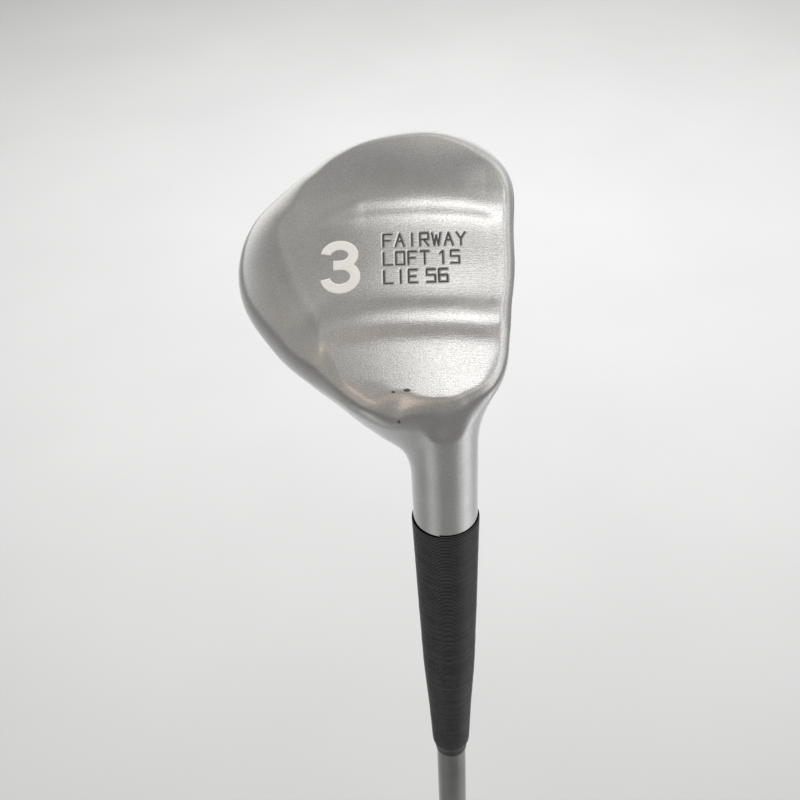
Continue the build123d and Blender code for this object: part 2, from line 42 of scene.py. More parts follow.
# ------------------------------------------------------------------ dimensions
CLUB_LENGTH = 1086.0
LIE_DEG = 56.0
LOFT_DEG = 15.0
HOSEL_TOP = 52.0
HOSEL_R = 8.5
CROWN_H = 38.0
BODY_WALL = SOLE_WALL = FACE_WALL = 1.0
FOAM_GAP = 0.6
NUMBER_POS = (-24.1, 24.7)
NUMBER_SIZE = (9.9, 13.9)
MARK_STROKE = 0.46
MARK_POS = (-13.4, 0.0)
MARK_ROWS = [(29.4, "FAIRWAY"), (24.6, "LOFT 15"), (19.8, "LIE 56")]
MARK_H = 3.3
WHIP = [(0.0, 9.0), (18.0, 8.55), (34.0, 8.2), (60.0, 7.5), (79.0, 6.4), (95.0, 5.75), (101.0, 5.3)]
OUTLINE = [
    (16.3, -1.3), (17.1, 5.9), (18.0, 14.0), (18.8, 22.0), (19.3, 30.1), (19.4, 38.1), (19.6, 44.4),
    (19.2, 51.4), (16.5, 56.4), (12.4, 60.0), (8.1, 63.6), (2.5, 64.9), (-2.9, 65.0), (-9.0, 64.7),
    (-16.0, 63.2), (-22.2, 60.5), (-28.1, 58.0), (-33.2, 54.4), (-38.6, 51.0), (-44.0, 46.8), (-48.3, 41.5),
    (-50.9, 34.9), (-51.6, 27.6), (-49.8, 20.6), (-46.6, 14.5), (-43.0, 9.3), (-39.0, 4.7), (-35.0, 0.5),
    (-30.3, -3.3), (-24.3, -8.3), (-16.7, -12.1), (-8.0, -10.7), (-0.1, -9.5), (7.8, -8.5), (13.9, -6.1),
]
OUT_C = (-14.0, 25.0)


# x towards the face, y towards the toe, h up from the ground, origin where the
# shaft axis meets the ground.
LIE = math.radians(LIE_DEG)
CL, SL = math.cos(LIE), math.sin(LIE)
TL = math.tan(math.radians(LOFT_DEG))


def row(x, y, h):
    """Head coordinates to the row frame."""
    return (x, SL * y + CL * h, CLUB_LENGTH + CL * y - SL * h)


def catmull(pts, n=24):
    P = np.array(pts, float)
    m = len(P)
    out = []
    for i in range(m):
        p0, p1, p2, p3 = P[(i - 1) % m], P[i], P[(i + 1) % m], P[(i + 2) % m]
        for k in range(n):
            t = k / n
            out.append(0.5 * ((2 * p1) + (-p0 + p2) * t + (2 * p0 - 5 * p1 + 4 * p2 - p3) * t * t
                              + (-p0 + 3 * p1 - 3 * p2 + p3) * t ** 3))
    return np.array(out)


def outline_series(pts, K=12):
    q = catmull(pts)
    dx, dy = q[:, 0] - OUT_C[0], q[:, 1] - OUT_C[1]
    th, R = np.arctan2(dy, dx), np.hypot(dx, dy)
    o = np.argsort(th)
    g = np.linspace(-np.pi, np.pi, 720, endpoint=False)
    Rg = np.interp(g, th[o], R[o], period=2 * np.pi)
    A = [np.ones_like(g)]
    for k in range(1, K + 1):
        A += [np.cos(k * g), np.sin(k * g)]
    c, *_ = np.linalg.lstsq(np.stack(A, 1), Rg, rcond=None)
    return c


SERIES = outline_series(OUTLINE)


def outline(x, y):
    """Signed distance to the plan outline (negative inside) and the bearing."""
    dx, dy = x - OUT_C[0], y - OUT_C[1]
    rho = np.hypot(dx, dy) + 1e-6
    z = (dx + 1j * dy + 1e-9) / rho
    R = np.full_like(rho, SERIES[0])
    dR = np.zeros_like(rho)
    w = np.ones_like(z)
    for k in range(1, (len(SERIES) - 1) // 2 + 1):
        w = w * z
        a, b = SERIES[2 * k - 1], SERIES[2 * k]
        R = R + a * w.real + b * w.imag
        dR = dR + k * (-a * w.imag + b * w.real)
    return (rho - R) / np.sqrt(1 + (dR / R) ** 2), np.degrees(np.arctan2(dy, dx))


def ss(a, b, t):
    u = np.clip((t - a) / (b - a), 0, 1)
    return u * u * (3 - 2 * u)


def smin(a, b, k):
    g = np.clip(0.5 + 0.5 * (b - a) / k, 0, 1)
    return b * (1 - g) + a * g - k * g * (1 - g)


def by_angle(th, table):
    a = np.array([t[0] for t in table], float)
    v = np.array([t[1] for t in table], float)
    a = np.concatenate([a - 360, a, a + 360])
    v = np.tile(v, 3)
    i = np.clip(np.searchsorted(a, th) - 1, 0, len(a) - 2)
    u = np.clip((th - a[i]) / (a[i + 1] - a[i]), 0, 1)
    u = u * u * (3 - 2 * u)
    return v[i] * (1 - u) + v[i + 1] * u


# Rounding of the sole edge (in, up) and of the crown edge (in), by bearing.
EDGE_IN = [(-180, 16), (-150, 14), (-125, 9), (-105, 4), (-80, 2.6), (-60, 3.0), (-40, 3.4), (0, 3.0), (30, 3.2),
           (50, 6.0), (75, 4.0), (95, 3.2), (110, 3.6), (125, 5), (145, 10)]
EDGE_UP = [(-180, 13), (-150, 12), (-125, 9), (-105, 5), (-80, 3.5), (-60, 3.6), (-40, 3.6), (0, 3.4), (30, 3.6),
           (50, 7), (75, 8), (95, 8), (110, 9), (125, 10), (145, 11.5)]
CROWN_IN = [(-180, 30), (-140, 26), (-110, 16), (-80, 8), (-50, 3.5), (-38, 2.6), (0, 2.4), (34, 2.8), (60, 12),
            (90, 20), (140, 28)]


def run_of(slopes, y0=26.0):
    """Heights along a line whose slopes in degrees are given at stations, zero at y0."""
    y = np.arange(-60.0, 90.0, 0.1)
    v = np.tan(np.radians(np.interp(y, [q[0] for q in slopes], [q[1] for q in slopes])))
    k = np.exp(-0.5 * (np.arange(-10, 11) / 4.0) ** 2)
    v = np.convolve(np.pad(v, 10, mode="edge"), k / k.sum(), mode="valid")
    z = np.concatenate([[0.0], np.cumsum((v[1:] + v[:-1]) / 2) * 0.1])
    return y, z - np.interp(y0, y, z)


# Heel-to-toe slopes of the sole: over the middle, and at the back where the runners die out.
MID = run_of([(-30, -9), (-12, -5), (-8, -4.2), (-3, -3.8), (2.5, -4), (3.7, -4.5), (4.5, -5.6), (5.3, -7.5),
              (6.1, -9.8), (6.8, -12), (7.5, -13), (8.4, -12.5), (9.2, -10), (9.9, -6.5), (10.7, -4), (11.5, -1.8),
              (12.2, 0.8), (13.0, 2.2), (13.8, 5), (14.5, 7.5), (15.3, 6.5), (16.1, 2.6), (17, 1), (18.4, -0.3),
              (20, -1.2), (22, -1), (26, -0.1), (30, -0.1), (33, -0.6), (34.6, -1.6), (35.6, -3), (36.6, -4),
              (37.4, -7), (38, -10.5), (38.7, -12), (39.6, -9), (40.3, -6), (41, -4), (41.8, -1.2), (42.6, 1.2),
              (43.6, 2.8), (44.5, 5.2), (45.3, 7.8), (47, 9.2), (50, 10.8), (54, 13), (58, 15.5), (62, 17.5), (66, 19)])
BACK = run_of([(-30, -10), (-14, -7), (-6, -6), (2, -5), (10, -3.5), (18, -1.5), (26, 0), (34, 2), (42, 5), (50, 10),
               (58, 15.5), (66, 19)])
# The heel panel's edge, by bearing about its middle: distance out and depth of the drop beyond it.
HEEL_EDGE = [(-174, 19.5), (-146, 13.4), (-121, 11.3), (-87, 11.3), (-60, 12.2), (-30, 13.8), (5, 14.6), (25, 14.2),
             (90, 18.0), (150, 24.0)]
HEEL_DROP = [(-170, 0.0), (-146, 0.4), (-121, 2.2), (-87, 4.2), (-60, 3.4), (-30, 1.6), (5, 0.5), (24, 0.0),
             (90, 0.0), (150, 0.0)]
# How far the crest lines of the runners sit off their straight run, by x.
BEND_TOE = [(-34, 4.2), (-27.6, 1.7), (-17.7, 0.2), (-2.8, 0.0), (7.1, 0.7), (12.4, 1.6)]
BEND_HEEL = [(-29.7, 4.3), (-28.7, 2.3), (-26.1, 0.7), (-13.3, 0.0), (4.0, 0.3), (10.7, 0.9)]


def sole(x, y):
    """Height of the sole: cambered, two low runners joined by a rim along the leading
    edge, recessed panels between them and a heel panel beyond."""
    bt = np.interp(x, [q[0] for q in BEND_TOE], [q[1] for q in BEND_TOE])
    bh = np.interp(x, [q[0] for q in BEND_HEEL], [q[1] for q in BEND_HEEL])
    yy = y + bt * ss(22, 33, y) * (1 - ss(45, 54, y)) + bh * (1 - ss(15, 24, y)) * ss(-6, 4, y)
    mid, back = np.interp(yy, *MID), np.interp(y, *BACK)
    w = ss(-36, -19, x)
    z = w * mid + (1 - w) * back
    # rim along the leading edge, level with the two crests
    c0, c1 = np.interp(10.7, *MID), np.interp(41.0, *MID)
    level = c0 + (c1 - c0) * np.clip((y - 10.7) / 30.3, 0, 1)
    between = ss(9.5, 13.5, yy) * (1 - ss(38.5, 42.0, yy))
    xr = 16.6 - 0.0040 * (y - 27) ** 2
    m = 0.5 * np.where(x > xr, 1.0, 1 - ss(0.0, 5.0, xr - x)) * between
    z = z * (1 - m) + np.minimum(level, z) * m
    # crisp far edge of the heel panel, dropping away to the skirt
    px, py = x + 2.0, y - 2.0
    phi = np.degrees(np.arctan2(py, px))
    out = np.hypot(px, py) - by_angle(phi, HEEL_EDGE)
    z = z + by_angle(phi, HEEL_DROP) * ss(-0.5, 8.5, out)
    return 1.8 + z + (x + 6) ** 2 / 520.0


def crown(x, y):
    return CROWN_H - (x - 2) ** 2 / 260.0 - (y - 20) ** 2 / 230.0


def neck(x, y, h):
    t = -y * CL + h * SL
    ry, rh = y + t * CL, h - t * SL
    rad = np.sqrt(x * x + ry * ry + rh * rh)
    rn = HOSEL_R + 0.008 * np.maximum(46 - t, 0) + 0.0006 * np.maximum(36 - t, 0) ** 2 * ss(0, -6, x)
    return rad - rn, t


def head(x, y, h):
    """Signed function of the head's outer surface, negative inside."""
    xs = x + TL * np.maximum(h - 4.5, 0) * ss(-30, 6, x)
    O, th = outline(xs, y)
    hs, hc = sole(x, y), crown(x, y)
    ac = by_angle(th, CROWN_IN)
    a, b = by_angle(th, EDGE_IN), by_angle(th, EDGE_UP)
    rim = hs + b
    front = ss(60, 34, th) * ss(-60, -38, th)
    rim2 = np.maximum(rim * (1 - front) + (hc - 3.0) * front, rim)
    u = np.maximum(O + ac, 0) / ac
    v = np.maximum(h - rim2, 0) / np.maximum(hc - rim2, 1e-3)
    lev = (u ** 2.1 + v ** 2.1) ** (1 / 2.1) - 1
    scale = np.where(v > u, np.maximum(hc - rim2, 1.0), ac)
    body = np.where(v > 0, lev * scale, O)
    fn, t = neck(x, y, h)
    k = 7.0 + 11.0 * ss(0, -16, x) + 2.0 * ss(4, 12, x)
    top = smin(body, fn, k)
    uu = np.maximum(smin(O, fn, k) + a, 0) / a
    vv = np.maximum(rim - h, 0) / b
    low = ((uu ** 2 + vv ** 2) ** 0.5 - 1) * np.minimum(a, b)
    return np.where(h < rim, low, top)



# Single-stroke capitals and figures on a 0..1 by 0..1 cell.
GLYPHS = {
    "A": [[(0, 0), (0.5, 1), (1, 0)], [(0.21, 0.4), (0.79, 0.4)]],
    "E": [[(1, 1), (0, 1), (0, 0), (1, 0)], [(0, 0.5), (0.8, 0.5)]],
    "F": [[(1, 1), (0, 1), (0, 0)], [(0, 0.5), (0.8, 0.5)]],
    "I": [[(0.5, 0), (0.5, 1)]],
    "L": [[(0, 1), (0, 0), (1, 0)]],
    "O": [[(0, 0), (1, 0), (1, 1), (0, 1), (0, 0)]],
    "R": [[(0, 0), (0, 1), (1, 1), (1, 0.5), (0, 0.5)], [(0.4, 0.5), (1, 0)]],
    "T": [[(0, 1), (1, 1)], [(0.5, 1), (0.5, 0)]],
    "W": [[(0, 1), (0.25, 0), (0.5, 0.8), (0.75, 0), (1, 1)]],
    "Y": [[(0, 1), (0.5, 0.5), (1, 1)], [(0.5, 0.5), (0.5, 0)]],
    "1": [[(0.2, 0.8), (0.55, 1), (0.55, 0)]],
    "5": [[(1, 1), (0, 1), (0, 0.55), (1, 0.55), (1, 0), (0, 0)]],
    "6": [[(1, 1), (0, 1), (0, 0), (1, 0), (1, 0.52), (0, 0.52)]],
}


def lettering():
    """List of (x0, y0, x1, y1) strokes for the engraved lettering."""
    cell, gap = 2.05, 0.95
    out = []
    for y, word in MARK_ROWS:
        x = MARK_POS[0]
        for ch in word:
            for line in GLYPHS.get(ch, []):
                for (ax, ay), (bx, by) in zip(line, line[1:]):
                    out.append((x + ax * cell, y + ay * MARK_H, x + bx * cell, y + by * MARK_H))
            x += (cell + gap) if ch != " " else 1.4
    return out




# ------------------------------------------------------------------ mesh helpers
def add_mesh(name, verts, faces, smooth=True):
    me = bpy.data.meshes.new(name)
    verts = np.asarray(verts, np.float64) * MM
    faces = np.asarray(faces)
    me.vertices.add(len(verts))
    me.vertices.foreach_set("co", verts.astype(np.float32).ravel())
    n, k = faces.shape
    me.loops.add(n * k)
    me.loops.foreach_set("vertex_index", faces.astype(np.int32).ravel())
    me.polygons.add(n)
    me.polygons.foreach_set("loop_start", (np.arange(n) * k).astype(np.int32))
    me.polygons.foreach_set("loop_total", np.full(n, k, np.int32))
    me.update(calc_edges=True)
    me.validate()
    if smooth:
        me.polygons.foreach_set("use_smooth", np.ones(len(me.polygons), bool))
    ob = bpy.data.objects.new(name, me)
    bpy.context.scene.collection.objects.link(ob)
    return ob


def grid_faces(nu, nv, closed_v=True):
    i = np.arange(nu - 1)[:, None]
    j = np.arange(nv if closed_v else nv - 1)[None, :]
    jn = (j + 1) % nv
    a, b, c, d = i * nv + j, i * nv + jn, (i + 1) * nv + jn, (i + 1) * nv + j
    return np.stack([a + 0 * j, b + 0 * i, c + 0 * i, d + 0 * j], -1).reshape(-1, 4)


def lathe(name, prof, seg=128, close_ends=False, wob=None):
    """Surface of revolution about +Z through (radius, z) points in mm."""
    p = np.array(prof, float)
    a = np.arange(seg) / seg * 2 * np.pi
    X = p[:, 0][:, None] * np.cos(a)
    Y = p[:, 0][:, None] * np.sin(a)
    Z = np.repeat(p[:, 1][:, None], seg, 1)
    V = np.stack([X, Y, Z], -1)
    if wob is not None:
        V = wob(V, a)
    return add_mesh(name, V.reshape(-1, 3), grid_faces(len(p), seg))


def attr(ob, name, values):
    at = ob.data.attributes.new(name, "FLOAT", "POINT")
    at.data.foreach_set("value", np.asarray(values, np.float32))


# --------------------------------------------------------------------- the head
PIVOT = (4.0, 51.0)
T_FAN = -PIVOT[0] * CL + PIVOT[1] * SL
N_SOLE, N_FACE, N_TOP, N_BACK = (330, 110, 110, 50)


def ray_angles():
    """Angles from +x, turning up over the crown, round the back and along the sole."""
    e = 2.15
    sole = np.arctan(np.linspace(e, -e, N_SOLE))            # angle from straight down towards +x .. -x
    sole = -np.pi / 2 + sole                                # as angle from +x (down is -90)
    lo_front = -(np.pi / 2 - math.atan(e))
    face = np.linspace(lo_front, math.radians(34), N_FACE + 1)[1:]
    top = np.linspace(math.radians(34), math.radians(156), N_TOP + 1)[1:]
    back = np.linspace(math.radians(156), math.radians(180) + (np.pi / 2 - math.atan(e)), N_BACK + 1)[1:-1]
    return np.concatenate([face, top, back, (sole + 2 * np.pi)[::-1]])


ANG = ray_angles()


def section(cx, cy, ch, dy, dh):
    ca, sa = np.cos(ANG), np.sin(ANG)
    X, Y, H = ca, -sa * dy, -sa * dh
    r = np.linspace(0.0, 62.0, 160)
    px, py, ph = cx + np.outer(X, r), cy + np.outer(Y, r), ch + np.outer(H, r)
    f = head(px.ravel(), py.ravel(), ph.ravel()).reshape(px.shape)
    out = f > 0
    out[:, -1] = True
    j = np.maximum(out.argmax(1), 1)
    lo, hi = r[j - 1], r[j]
    for _ in range(18):
        mid = (lo + hi) / 2
        v = head(cx + X * mid, cy + Y * mid, ch + H * mid)
        lo, hi = np.where(v < 0, mid, lo), np.where(v < 0, hi, mid)
    r = (lo + hi) / 2
    return np.stack([cx + X * r, cy + Y * r, ch + H * r], 1)


def toe_tip():
    X, H = np.meshgrid(np.linspace(-30, 15, 91), np.linspace(2, 30, 57))
    X, H = X.ravel(), H.ravel()
    y = 58.0
    while True:
        f = head(X, np.full(X.size, y), H)
        if f.min() > -0.02:
            return y, X[f.argmin()], H[f.argmin()]
        y += 0.05


def seg_dist(px, py, s):
    x0, y0, x1, y1 = s
    dx, dy = x1 - x0, y1 - y0
    t = np.clip(((px - x0) * dx + (py - y0) * dy) / (dx * dx + dy * dy), 0, 1)
    return np.hypot(px - x0 - t * dx, py - y0 - t * dy)


def build_head():
    toe = toe_tip()
    ty = toe[0]
    ys = [ty - 0.05, ty - 0.2, ty - 0.5, ty - 0.9]
    y = ty - 1.4
    while y > 50:
        ys.append(y); y -= 0.6
    while y > 34.5:
        ys.append(y); y -= 0.4
    while y > 18.5:
        ys.append(y); y -= 0.2
    while y > PIVOT[0] + 0.2:
        ys.append(y); y -= 0.34
    out = []
    for y in ys:
        g = ss(ty - 30.0, ty, y)
        x = -13.5 * min(1.0, max(0.0, (y + 8) / 24.0))
        out.append(section(x * (1 - g) + toe[1] * g, y, 17.0 * (1 - g) + toe[2] * g, 0.0, -1.0))
    n = 120
    for i in range(n + 1):
        phi = i / n * LIE
        dy, dh = -math.sin(phi), -math.cos(phi)
        rc = PIVOT[1] - 17.0 + (i / n) * (PIVOT[0] * SL + PIVOT[1] * CL - (PIVOT[1] - 17.0))
        out.append(section(-6.75 * (1 - i / n) ** 1.5, PIVOT[0] + rc * dy, PIVOT[1] + rc * dh, dy, dh))
    t = T_FAN + 0.8
    while t < HOSEL_TOP + 1.2:
        out.append(section(0.0, -t * CL, t * SL, -SL, -CL)); t += 0.8
    P = np.stack(out)                                  # rings x points x 3, head coordinates
    nr, na, _ = P.shape
    x, y, h = P[..., 0], P[..., 1], P[..., 2]
    hs = sole(x, y)
    onsole = (h < hs + 1.0) & (y > -8)
    # engraved lettering
    ink = np.full(x.shape, 9.0)
    m = onsole & (x > -16) & (x < 12) & (y > 17) & (y < 35)
    for s in lettering():
        ink[m] = np.minimum(ink[m], seg_dist(x[m], y[m], s))
    groove = 1 - ss(MARK_STROKE / 2 - 0.10, MARK_STROKE / 2 + 0.08, ink)
    P[..., 2] = P[..., 2] + 0.22 * groove
    # score lines in the face
    sc = np.zeros(x.shape)
    fm = (x > 6) & (h > 6) & (h < 34) & (y > 4) & (y < 52)
    for i in range(7):
        hh = 9.0 + i * 3.3
        d = np.maximum(np.abs(h - hh) - 0.0, 0)
        e = np.maximum(np.abs(y - 27.0) - 20.0, 0)
        sc = np.maximum(sc, fm * (1 - ss(0.22, 0.42, np.hypot(d, e))))
    P[..., 0] = P[..., 0] - 0.35 * sc
    V = np.stack([P[..., 0], SL * P[..., 1] + CL * P[..., 2], CLUB_LENGTH + CL * P[..., 1] - SL * P[..., 2]], -1).reshape(-1, 3)
    F = grid_faces(nr, na)
    # a fan of quads to the toe's centre; the fan is returned but not added to the mesh, only its centre vertex is
    c = V[:na].mean(0)
    V = np.concatenate([V, c[None]])
    j = np.arange(na)
    cap = np.stack([np.full(na, len(V) - 1), (j + 1) % na, j, j], 1)
    ob = add_mesh("head_shell", V, F[:, ::-1])
    attr(ob, "ink", np.append(groove.ravel(), 0))
    attr(ob, "score", np.append(sc.ravel(), 0))
    # plan coordinates in mm for the finish: x to the face, y to the toe, h up
    for k, nm in enumerate(("px", "py", "ph")):
        attr(ob, nm, np.append(np.stack([x, y, h], -1)[..., k].ravel(), 0))
    return ob, cap


head_ob, _ = build_head()
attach(head_ob, "root")
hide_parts("head_body", "sole_plate")


# ------------------------------------------------------------ club number (paint)
def digit_outline():
    cx, cy = NUMBER_POS
    w, h = NUMBER_SIZE
    sw = 0.25 * w
    r1x, r1y = w * 0.345, h * 0.19
    r2x, r2y = w * 0.5 - sw / 2, h * 0.222
    c1 = (cx - 0.01 * w, cy + h / 2 - sw / 2 - r1y)
    c2 = (cx, cy - h / 2 + sw / 2 + r2y)
    a1 = np.radians(np.linspace(172, -90, 60))
    a2 = np.radians(np.linspace(90, -172, 70))
    top = [(c1[0] + r1x * math.cos(a), c1[1] + r1y * math.sin(a)) for a in a1] + [(c1[0] - 0.16 * w, c1[1] - r1y)]
    low = [(c2[0] - 0.16 * w, c2[1] + r2y)] + [(c2[0] + r2x * math.cos(a), c2[1] + r2y * math.sin(a)) for a in a2]
    return np.array(top), np.array(low), sw


def build_number():
    """A painted figure: fine grid cells inside the strokes, edges trimmed to the outline."""
    top, low, sw = digit_outline()
    segs = [(*top[i], *top[i + 1]) for i in range(len(top) - 1)] + [(*low[i], *low[i + 1]) for i in range(len(low) - 1)]
    st = 0.12
    gx = np.arange(NUMBER_POS[0] - 5.6, NUMBER_POS[0] + 5.6, st)
    gy = np.arange(NUMBER_POS[1] - 7.4, NUMBER_POS[1] + 7.4, st)
    X, Y = np.meshgrid(gx, gy, indexing="ij")
    D = np.full(X.shape, 9.0)
    for s in segs:
        D = np.minimum(D, seg_dist(X, Y, s))
    # cut the terminals square to their strokes
    D = D - sw / 2
    for p, q in ((top[0], top[1]), (low[-1], low[-2]), (top[-1], top[-2])):
        n = (q - p) / np.hypot(*(q - p))
        near = np.hypot(X - p[0], Y - p[1]) < sw * 0.9
        D = np.where(near, np.maximum(D, -((X - p[0]) * n[0] + (Y - p[1]) * n[1])), D)
    # pull border vertices onto the zero line
    gx_, gy_ = np.gradient(D, st)
    g2 = np.maximum(gx_ ** 2 + gy_ ** 2, 0.25)
    near = (D > 0) & (D < st * 1.3)
    Xs, Ys = np.where(near, X - gx_ * D / g2, X), np.where(near, Y - gy_ * D / g2, Y)
    keep = D < st * 1.3
    q = keep[:-1, :-1] & keep[1:, :-1] & keep[1:, 1:] & keep[:-1, 1:]
    cen = (D[:-1, :-1] + D[1:, :-1] + D[1:, 1:] + D[:-1, 1:]) / 4
    q &= cen < st * 0.45
    H = sole(Xs, Ys) - 0.05 + 0.05 * ss(-0.12, 0.0, D)
    V = np.stack([Xs, SL * Ys + CL * H, CLUB_LENGTH + CL * Ys - SL * H], -1).reshape(-1, 3)
    i, j = np.nonzero(q)
    ny = X.shape[1]
    F = np.stack([i * ny + j, (i + 1) * ny + j, (i + 1) * ny + j + 1, i * ny + j + 1], 1)
    used = np.unique(F)
    remap = np.zeros(len(V), int); remap[used] = np.arange(len(used))
    ob = add_mesh("number_paint", V[used], remap[F][:, ::-1])
    return ob


num = build_number()
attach(num, "root")
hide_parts("number_fill")


# ------------------------------------------------------------------ whipping thread
def build_whip():
    pitch, wire = 0.56, 0.275
    z0 = CLUB_LENGTH - HOSEL_TOP
    length = 99.5
    turns = int(length / pitch)
    seg, k = 80, 9
    n = turns * seg
    u = np.arange(n) / seg
    d = u * pitch
    drift = np.interp(u, np.arange(turns + 2), rng.normal(0, 0.018, turns + 2))
    rj = np.interp(u, np.arange(0, turns + 4, 1.7), rng.normal(0, 0.022, len(np.arange(0, turns + 4, 1.7))))
    R = np.interp(d, [p[0] for p in WHIP], [p[1] for p in WHIP]) - 0.24 + rj
    R = R - 0.9 * ss(96.0, 99.5, d) ** 2 - 0.16 * (1 - ss(0.0, 0.9, d))
    a = 2 * np.pi * u - math.radians(102)
    ph = np.linspace(-0.62 * np.pi, 0.62 * np.pi, k)
    ax = (wire * np.cos(ph))[None, :]
    az = (wire * 0.97 * np.sin(ph))[None, :]
    rr = R[:, None] + ax - 0.05
    zz = (z0 - d + drift)[:, None] - az
    V = np.stack([rr * np.cos(a)[:, None], rr * np.sin(a)[:, None], zz], -1)
    F = grid_faces(n, k, closed_v=False)
    ob = add_mesh("whipping", V.reshape(-1, 3), F)
    attr(ob, "along", np.repeat(d, k))
    attr(ob, "turn", np.repeat(a, k))
    attr(ob, "crest", np.tile(np.cos(ph), n))
    return ob


whip = build_whip()
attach(whip, "root")
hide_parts("whipping_thread")


# -------------------------------------------------------------------------- shaft
def shaft_profile():
    tip_z, tip_r, butt_r = CLUB_LENGTH - 28.0, 4.47, 7.62
    prof = [(tip_r, tip_z)]
    r0 = tip_r
    for i in range(13):
        z = tip_z - 290.0 - i * 39.5
        r1 = tip_r + (butt_r - tip_r) * (i + 1) / 13
        prof += [(r0, z + 0.6), (r0 + 0.02, z + 0.25), (r0 + (r1 - r0) * 0.5, z - 0.6), (r1 - 0.02, z - 1.45), (r1, z - 1.8)]
        r0 = r1
    prof.append((butt_r, 5.0))
    dense = []
    for (ra, za), (rb, zb) in zip(prof, prof[1:]):
        m = max(1, int(abs(za - zb) / 12))
        dense += [(ra + (rb - ra) * i / m, za + (zb - za) * i / m) for i in range(m)]
    return dense + [prof[-1]]


shaft = lathe("shaft_tube", shaft_profile(), 96)
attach(shaft, "root")
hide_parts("shaft")


# --------------------------------------------------------------------------- grip
def build_grip():
    n, seg = 720, 288
    zs = np.linspace(7.0, 275.0, n)
    u = (zs - 7.0) / 268.0
    r = 8.3 + 0.55 + (13.4 - 8.3 - 0.9) * (1 - u) ** 0.85
    a = np.arange(seg) / seg * 2 * np.pi
    Z, A = np.meshgrid(zs, a, indexing="ij")
    R = np.repeat(r[:, None], seg, 1)
    # moulded pattern: crossed fine diagonal grooves in bands, plain rings between
    band = ss(16, 18, Z) * (1 - ss(252, 254, Z))
    k = 12
    lead = 26.0
    s1 = np.abs(((A * k / (2 * np.pi) + Z / lead) % 1.0) - 0.5) * 2
    s2 = np.abs(((A * k / (2 * np.pi) - Z / lead) % 1.0) - 0.5) * 2
    g = np.maximum(ss(0.86, 0.97, s1), ss(0.86, 0.97, s2))
    ring = 0.0 * Z
    for zc in (14.0, 16.0, 256.0, 258.5, 261.0):
        ring = np.maximum(ring, 1 - ss(0.3, 0.62, np.abs(Z - zc)))
    R = R - 0.38 * g * band - 0.5 * ring - 0.06 * rng.normal(0, 0.12, Z.shape) * band
    lipz = ss(266, 268, Z)
    R = R + 0.35 * lipz * (1 - ss(272.5, 275, Z) ** 2 * 2.4)
    V = np.stack([R * np.cos(A), R * np.sin(A), Z], -1)
    # mouth of the grip turning in to the shaft
    end = []
    for rr, zz in ((8.2, 276.2), (7.9, 276.5), (7.62, 276.3)):
        end.append(np.stack([rr * np.cos(a), rr * np.sin(a), np.full(seg, zz)], -1))
    V = np.concatenate([V, np.stack(end)])
    ob = add_mesh("grip_rubber", V.reshape(-1, 3), grid_faces(n + 3, seg))
    return ob


grip = build_grip()
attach(grip, "root")
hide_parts("grip_sleeve")

cap_prof = [(1.6, 9.0), (1.6, 0.35), (1.75, 0.08), (2.1, 0.0), (6.0, 0.0), (6.3, 0.25), (6.9, 0.25), (7.2, 0.0), (11.6, 0.0),
            (12.5, 0.12), (13.1, 0.5), (13.45, 1.1), (13.6, 1.9), (13.6, 5.6), (13.45, 6.2), (13.1, 6.7), (12.6, 7.0), (9.0, 7.05)]
cap = lathe("butt_cap", cap_prof, 128)
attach(cap, "root")
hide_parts("grip_cap")


